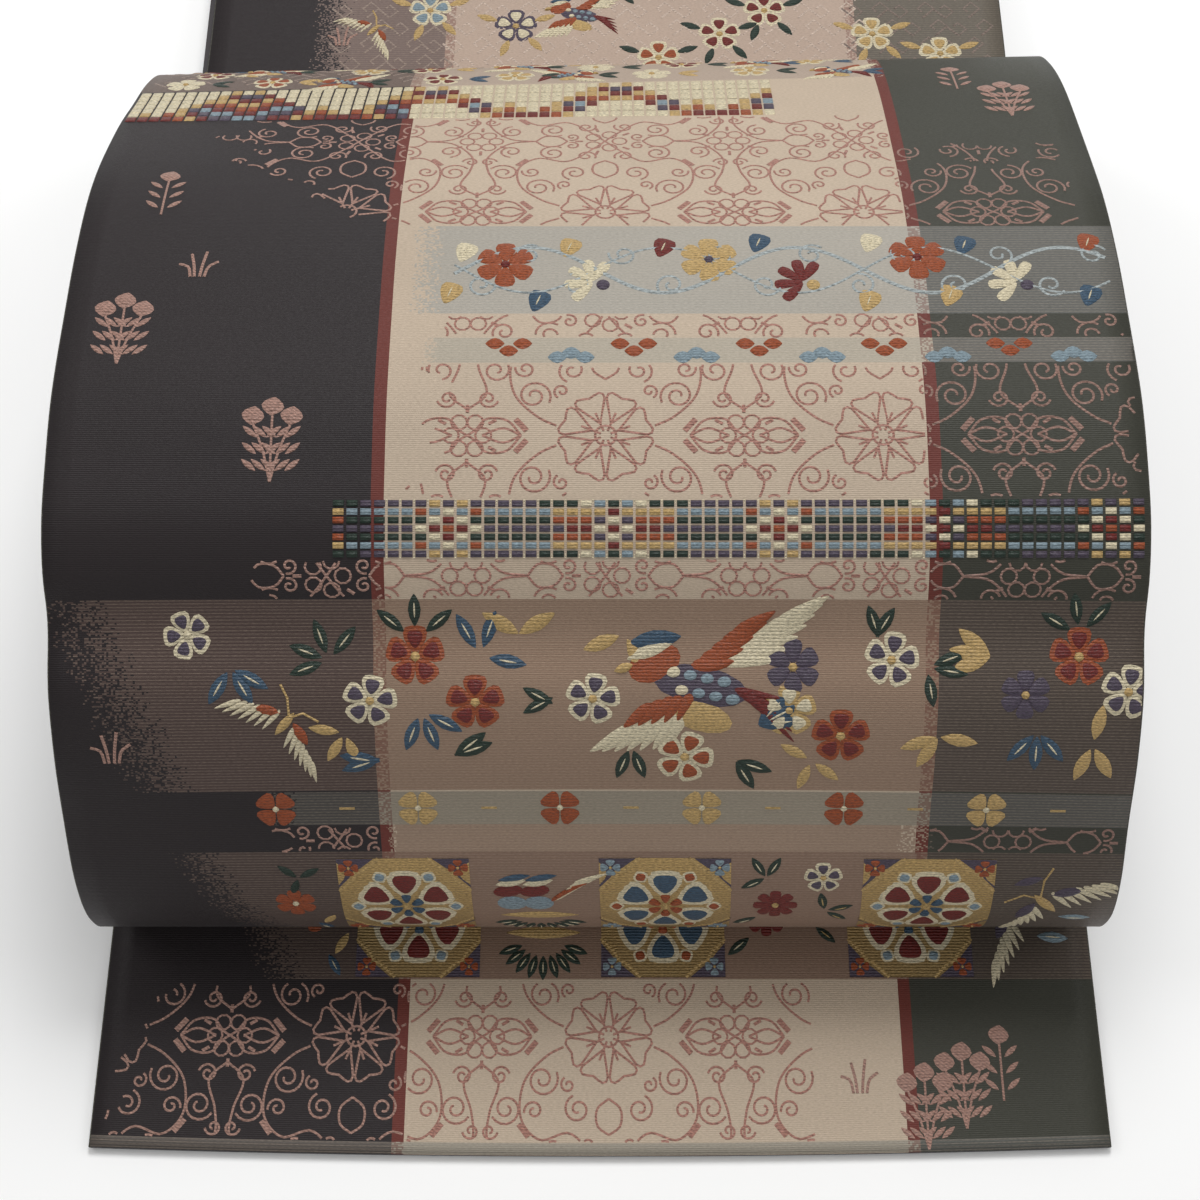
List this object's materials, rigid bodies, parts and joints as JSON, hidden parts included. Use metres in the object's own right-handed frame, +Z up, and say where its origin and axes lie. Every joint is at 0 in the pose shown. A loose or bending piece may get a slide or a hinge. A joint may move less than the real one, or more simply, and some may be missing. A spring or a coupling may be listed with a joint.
{
  "type": "obi sash",
  "caption": "Double-woven patterned silk obi sash laid out as tied: flat end in front, hollow drum loop arching over it, and the rest folded up flat behind.",
  "frame": {"origin": "centre of the footprint, on the surface the sash lies on", "axes": "+X across the cloth towards the green side, +Y from the flat end towards the folded length, +Z up"},
  "size_m": [0.31, 0.9131, 0.1366],
  "materials": {
    "face_silk": "figured silk brocade with metallic thread",
    "back_silk": "plain dark silk twill",
    "folded_silk": "both cloths, folded up in layers"
  },
  "bodies": {
    "root": {"face_end": "face_silk", "face_return": "face_silk", "face_drum": "face_silk", "face_run": "face_silk", "back_end": "back_silk", "back_return": "back_silk", "back_drum": "back_silk", "back_run": "back_silk", "folded_length": "folded_silk"}
  },
  "joints": []
}
